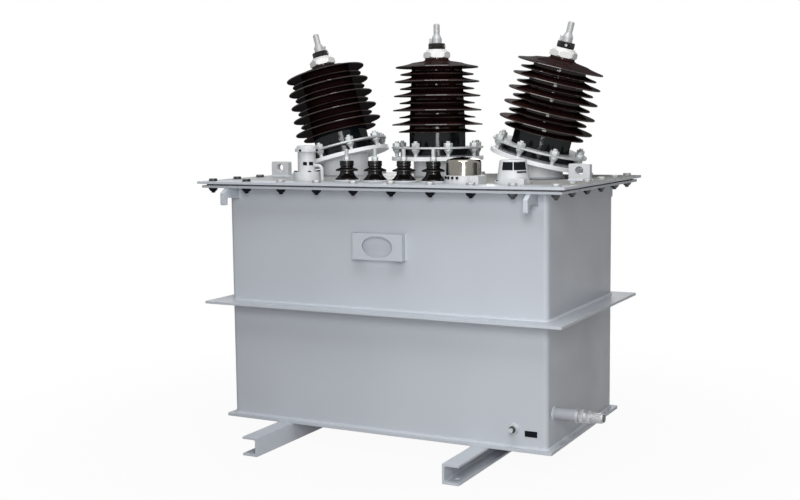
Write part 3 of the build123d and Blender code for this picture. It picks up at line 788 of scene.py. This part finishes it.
def lv_insulators():
    """Smooth bell-shaped insulators, the thin ring under each and its threaded stud with nuts."""
    bell = [(0, 0), (LV_BASE_RADIUS, 0), (LV_BASE_RADIUS, LV_BASE_HEIGHT)]
    for t in LV_BELL_SHARES:
        radius = LV_BASE_RADIUS - LV_BELL_TAPER * (1 - (1 - t) ** LV_BELL_POWER)
        bell.append((radius, LV_BASE_HEIGHT + LV_BELL_HEIGHT * t))
    profile = rounded([*bell, *LV_BRIM, *LV_HEAD], LV_EDGE, steps=3)
    collars = bmesh.new()
    studs = bmesh.new()
    for number in range(1, LV_COUNT + 1):
        seat = Vector(MOUNTS[f"lv_stud_{number}"]["pos_m"])
        seat.z = COVER_TOP
        place = upright(seat)
        bm = bmesh.new()
        turned(bm, profile, place, count=64)
        piece(f"lv_insulator_{number}", bm, "lv_glaze", replaced=(f"lv_porcelain_{number}",))
        loft(collars, [circle(*point, 64) for point in LV_COLLAR], place, closed=True)
        top = raised(place, LV_TOP)
        washer(studs, top, *LV_WASHER)
        hex_nut(studs, raised(top, LV_WASHER[1]), *LV_NUT)
        thread(studs, top, *LV_STUD)
    piece("lv_collars", collars, "tank_paint")
    piece("lv_terminals", studs, "zinc_plate", replaced=("lv_studs",))


# Cover bolts

def bolt_spots():
    """Middles of the cover bolts in the plan."""
    end_x = BOLT_PITCH_X * (BOLT_COUNT_X - 1) / 2
    end_y = BOLT_PITCH_Y * (BOLT_COUNT_Y - 1) / 2
    along = [-end_x + BOLT_PITCH_X * i for i in range(BOLT_COUNT_X)]
    across = [-end_y + BOLT_PITCH_Y * i for i in range(1, BOLT_COUNT_Y - 1)]
    spots = [(x, sign * end_y) for x in along for sign in (-1, 1)]
    return spots + [(sign * end_x, y) for y in across for sign in (-1, 1)]


def cover_bolts():
    """Bolts of the cover: heads and tapered nuts, in copies of one steel that paint light and
    shade: heads darker at the left end, nuts at the right end in the matt enamel.
    """
    heads = bmesh.new()
    nuts = bmesh.new()
    corner = NUT_FLAT / cos(pi / 6)
    rings = [hexagon(NUT_FLAT, corner, level) for level in NUT_LEVELS]
    rings += [hexagon(*NUT_NECK), circle(*NUT_TIP, HEX_POINTS)]
    for number, (x, y) in enumerate(bolt_spots()):
        turn = BOLT_TURN + BOLT_TURN_SWING * sin(BOLT_TURN_RATE * number)
        # Painted light: heads past the left end take the lighter steel, those at the left end the
        # darker one as painted dark reflection
        painted_light_head = int(x > -COVER_END_X)
        top = upright((x, y, COVER_TOP), turn)
        washer(heads, top, *BOLT_WASHER, painted_light_head)
        hex_nut(heads, raised(top, BOLT_WASHER[1]), *BOLT_HEAD, painted_light_head)
        # Painted light: nuts at the right end take the matt enamel in place of the dark steel
        painted_light_nut = int(x > COVER_END_X)
        under = spun(flipped(Matrix.Translation((x, y, FLANGE_BOTTOM))), turn)
        washer(nuts, under, *NUT_WASHER, painted_light_nut)
        loft(nuts, rings, under, finish=painted_light_nut)
        thread(nuts, raised(under, BOLT_TIP_LEVEL), *BOLT_TIP, painted_light_nut)
    piece("cover_bolt_heads", heads, "dark_steel", "bolt_steel", "terminal_metal")
    piece("flange_nuts", nuts, "dark_steel", "dark_enamel", "bolt_steel")


# Welds

def welds():
    """Fillet welds of the tank, the skids and the fittings."""
    bm = bmesh.new()
    wall = (TANK_WIDTH, TANK_DEPTH, TANK_CORNER, WELD_STEP)
    for level, rise in ((BASE_TOP, UP), (GIRTH_BOTTOM, -UP), (GIRTH_TOP, UP), (FLANGE_BOTTOM, -UP)):
        bead(bm, rounded_rectangle(*wall, level), rise, TANK_WELD_LEG, closed=True)
    for side in SIDES:
        foot = bushing_place(side).translation
        foot.z = COVER_TOP
        bead(bm, round_path(upright(foot), RISER_RADIUS), UP, closed=True)
    width, height = BRACKET_SIZE
    for x_sign in (-1, 1):
        foot = Vector((x_sign * LUG.x, LUG.y, LUG.z))
        path = rounded_rectangle(*LUG_SIZE, LUG_CORNER, WELD_STEP)
        bead(bm, [(foot + point, out) for point, out in path], UP, closed=True)
        for edge, out in zip(SKID_EDGES, (-RIGHT, RIGHT)):
            front = Vector((x_sign * edge, -BASE_DEPTH / 2, SKID_TOP))
            back = Vector((x_sign * edge, BASE_DEPTH / 2, SKID_TOP))
            bead(bm, straight(front, back, x_sign * out), -UP, SMALL_WELD_LEG)
        for y_sign in (-1, 1):
            for face in (-1, 1):
                x = x_sign * HOOK_X + face * HOOK_THICK / 2
                high = Vector((x, y_sign * TANK_DEPTH / 2, FLANGE_BOTTOM))
                low = high - HOOK_ROOT_DEPTH * UP
                bead(bm, straight(low, high, face * RIGHT), y_sign * -FRONT, SMALL_WELD_LEG)
        low = BRACKET + Vector((x_sign * width / 2, 0, -height / 2))
        high = BRACKET + Vector((x_sign * width / 2, 0, height / 2))
        bead(bm, straight(low, high, x_sign * RIGHT), FRONT, SMALL_WELD_LEG)
    earth = round_path(facing(EARTH, FRONT), EARTH_BOSS_RADIUS)
    bead(bm, earth, FRONT, SMALL_WELD_LEG, closed=True)
    valve = round_path(facing(VALVE, RIGHT), VALVE_STUB_RADIUS)
    bead(bm, valve, RIGHT, SMALL_WELD_LEG, closed=True)
    piece("weld_beads", bm, "tank_paint", sharp=60)


# Small fittings

def blank_plates():
    """Dark label plates without any marks, on the tap changer, the filler and the front wall."""
    bm = bmesh.new()
    for centre, labels in ((TAP, TAP_LABELS), (FILLER, FILLER_LABELS)):
        for label in labels:
            wrapped_plate(bm, centre, *label)
    soft_plate(bm, facing(PLATE, FRONT), PLATE_SIZE, PLATE_EDGE)
    piece("blank_plates", bm, "dark_steel", "dark_enamel")


def fitting_bolts():
    """Small bolts on the filler, the relief dome and the tap changer."""
    bm = bmesh.new()
    for i in range(4):
        angle = i * pi / 2
        radius, height, head = FILLER_LID_BOLTS
        out = Vector((cos(angle), sin(angle), 0))
        hex_nut(bm, facing(FILLER + radius * out + height * UP, out), *head)
        across = Vector((cos(angle + pi / 4), sin(angle + pi / 4), 0))
        for middle, (radius, height, head) in ((FILLER, FILLER_BASE_BOLTS), (TAP, TAP_BOLTS)):
            hex_nut(bm, upright(middle + radius * across + height * UP, angle), *head)
    radius, height, head = DOME_BOLTS
    for angle in DOME_BOLT_ANGLES:
        out = outwards(radians(angle))
        hex_nut(bm, facing(DOME + radius * out + height * UP, out), *head)
    piece("fitting_bolts", bm, "dark_steel")


def earth_and_valve():
    """Nut and washer on the earth stud, and the drain valve's hexagons, ribbed cap and end plug."""
    bm = bmesh.new()
    stud = facing(EARTH + EARTH_BOSS_LENGTH * FRONT, FRONT)
    washer(bm, stud, *EARTH_WASHER)
    hex_nut(bm, raised(stud, EARTH_WASHER[1]), *EARTH_NUT)
    piece("earth_nut", bm, "zinc_plate", "bolt_steel")
    finishes = ("valve_metal", "bolt_steel")
    bm = bmesh.new()
    axis = facing(VALVE, RIGHT)
    for start, nut in VALVE_NUTS:
        hex_nut(bm, raised(axis, start), *nut)
    for i in range(VALVE_RIB_COUNT):
        rib = spun(raised(axis, VALVE_RIB_START), 2 * pi * i / VALVE_RIB_COUNT)
        rib = rib @ Matrix.Translation((VALVE_RIB_CIRCLE, 0, 0))
        peg(bm, rib, *VALVE_RIB, count=8, steps=2)
    plug = raised(axis, VALVE_PLUG_START)
    dark = finishes.index("bolt_steel")
    peg(bm, plug, *VALVE_PLUG, count=32, steps=2, finish=dark)
    piece("valve_trim", bm, "valve_metal", *finishes)


# Stage: light of the surroundings, the floor and how far from the middle it fades to white

WORLD_TINT = (1, 0.99, 0.95, 1)
WORLD_LIGHT = 0.1
WHITE = (1, 1, 1, 1)
FLOOR_GREY = (0.3, 0.3, 0.3, 1)
FLOOR_SIZE = 60
FLOOR_GLOW = 0.95
FLOOR_FADE = (0.5, 1.6)

# Lamps: name, place, point aimed at, width and height, and power in watts
LAMPS = (
    ("key", (1.3, -2.6, 1.15), (0.1, 0, 0.6), (0.6, 1.7), 51),
    ("top", (0.45, -1.0, 2.7), (0.15, 0, 0.5), (1.6, 1.6), 43),
    ("sparkle", (0.9, -3.0, 1.7), (0, 0, 1.0), (0.06, 0.06), 3.5),
    ("back", (-1.1, 2.7, 1.7), (0, 0, 0.5), (1.6, 1.6), 22),
)


def camera():
    """Camera at the photograph's viewpoint."""
    right = Vector((cos(CAMERA_TURN), sin(CAMERA_TURN), 0))
    level = Vector((-sin(CAMERA_TURN), cos(CAMERA_TURN), 0))
    forward = level * cos(CAMERA_DIP) - UP * sin(CAMERA_DIP)
    up = right.cross(forward)
    rolled_right = right * cos(CAMERA_ROLL) + up * sin(CAMERA_ROLL)
    rolled_up = up * cos(CAMERA_ROLL) - right * sin(CAMERA_ROLL)
    data = bpy.data.cameras.new("camera")
    data.sensor_width = CAMERA_SENSOR
    data.lens = CAMERA_LENS
    obj = bpy.data.objects.new("camera", data)
    turn = Matrix((rolled_right, rolled_up, -forward)).transposed().to_4x4()
    obj.matrix_world = Matrix.Translation(CAMERA_PLACE) @ turn
    bpy.context.scene.collection.objects.link(obj)
    bpy.context.scene.camera = obj


def shown_directly(tree):
    """1 for rays from the camera and for reflected and transmitted ones, 0 for scattered light."""
    path = add_node(tree, "ShaderNodeLightPath").outputs
    links = {0: path["Is Camera Ray"], 1: path["Is Glossy Ray"]}
    either = add_node(tree, "ShaderNodeMath", links, operation="MAXIMUM").outputs[0]
    links = {0: either, 1: path["Is Transmission Ray"]}
    return add_node(tree, "ShaderNodeMath", links, operation="MAXIMUM").outputs[0]


def mixed(tree, share, first, second, output):
    """Shows a mix of two shaders, the second one by its share."""
    links = {0: share, 1: first.outputs[0], 2: second.outputs[0]}
    mix = add_node(tree, "ShaderNodeMixShader", links)
    add_node(tree, output, {"Surface": mix.outputs[0]})


def backdrop():
    """White surroundings: white where they are seen, softer where they light the object."""
    world = bpy.data.worlds.new("surroundings")
    world.use_nodes = True
    tree = world.node_tree
    tree.nodes.clear()
    light = add_node(tree, "ShaderNodeBackground", Color=WORLD_TINT, Strength=WORLD_LIGHT)
    white = add_node(tree, "ShaderNodeBackground", Color=WHITE, Strength=1.0)
    mixed(tree, shown_directly(tree), light, white, "ShaderNodeOutputWorld")
    bpy.context.scene.world = world


def floor():
    """Wide white floor that keeps a faint shadow near the object and fades to white."""
    bm = bmesh.new()
    bmesh.ops.create_grid(bm, x_segments=4, y_segments=4, size=FLOOR_SIZE)
    mesh = bpy.data.meshes.new("floor")
    bm.to_mesh(mesh)
    bm.free()
    obj = bpy.data.objects.new("floor", mesh)
    bpy.context.scene.collection.objects.link(obj)
    material = bpy.data.materials.new("floor_white")
    material.use_nodes = True
    tree = material.node_tree
    tree.nodes.clear()
    painted_light_nut = add_node(tree, "ShaderNodeBsdfDiffuse", Color=FLOOR_GREY)
    glow = add_node(tree, "ShaderNodeEmission", Color=WHITE, Strength=1.0)
    spot = add_node(tree, "ShaderNodeTexCoord").outputs["Object"]
    reach = add_node(tree, "ShaderNodeVectorMath", {0: spot}, operation="LENGTH").outputs["Value"]
    fade = spread(tree, reach, FLOOR_GLOW, 1.0, *FLOOR_FADE)
    share = times(tree, shown_directly(tree), fade)
    mixed(tree, share, painted_light_nut, glow, "ShaderNodeOutputMaterial")
    mesh.materials.append(material)


def lamp(name, place, target, size, power):
    """Soft lamp of a width and a height, aimed at a point."""
    data = bpy.data.lights.new(name, "AREA")
    data.shape = "RECTANGLE"
    data.size, data.size_y = size
    data.energy = power
    obj = bpy.data.objects.new(name, data)
    obj.location = place
    aim = Vector(target) - Vector(place)
    obj.rotation_euler = aim.to_track_quat("-Z", "Y").to_euler()
    bpy.context.scene.collection.objects.link(obj)


dress_frame()
insulators()
clamp_hardware()
locknuts()
lv_insulators()
cover_bolts()
welds()
blank_plates()
fitting_bolts()
earth_and_valve()
camera()
backdrop()
floor()
for values in LAMPS:
    lamp(*values)
bpy.context.scene.view_settings.view_transform = "Standard"
